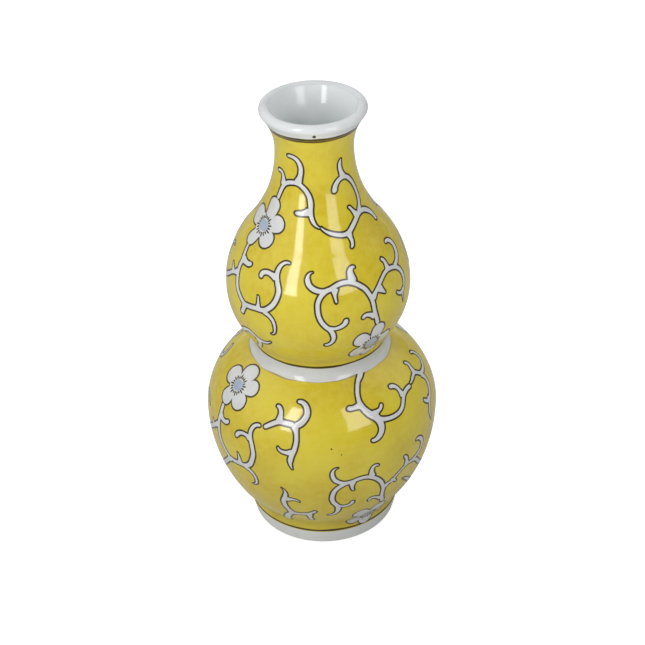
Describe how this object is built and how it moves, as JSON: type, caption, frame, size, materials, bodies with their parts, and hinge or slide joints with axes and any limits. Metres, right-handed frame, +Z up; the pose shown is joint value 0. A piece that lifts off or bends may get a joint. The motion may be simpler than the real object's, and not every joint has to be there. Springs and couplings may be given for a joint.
{
  "type": "double gourd vase",
  "caption": "Double gourd vase in glazed ceramic: a smaller bulb over a larger one, narrow waist, flared mouth and ring foot, yellow ground with white flowering vine.",
  "frame": {"origin": "middle of the foot's underside, on the surface that the vase stands on", "axes": "+Z up along the axis of revolution; -Y towards the side that the decoration was drawn from"},
  "size_m": [0.1, 0.1, 0.2],
  "materials": {
    "yellow_glaze": "glossy yellow enamel ground, uneven in depth",
    "white_glaze": "glossy cool white glaze",
    "slip": "fired porcelain slip",
    "vine_enamel": "glossy white enamel, slightly raised",
    "outline_enamel": "brown-black brushed line under the glaze",
    "blossom_enamel": "pale blue enamel in the blossoms"
  },
  "bodies": {
    "root": {"foot_ring": "white_glaze", "base_disc": "white_glaze", "lower_bulb_bowl": "yellow_glaze", "lower_bulb_shoulder": "yellow_glaze", "waist_collar": "white_glaze", "upper_bulb_bowl": "yellow_glaze", "upper_bulb_shoulder": "yellow_glaze", "mouth_rim": "white_glaze", "foot_slip": "slip", "base_slip": "slip", "belly_slip": "slip", "lower_waist_slip": "slip", "upper_waist_slip": "slip", "crown_slip": "slip", "rim_slip": "slip"}
  },
  "joints": []
}
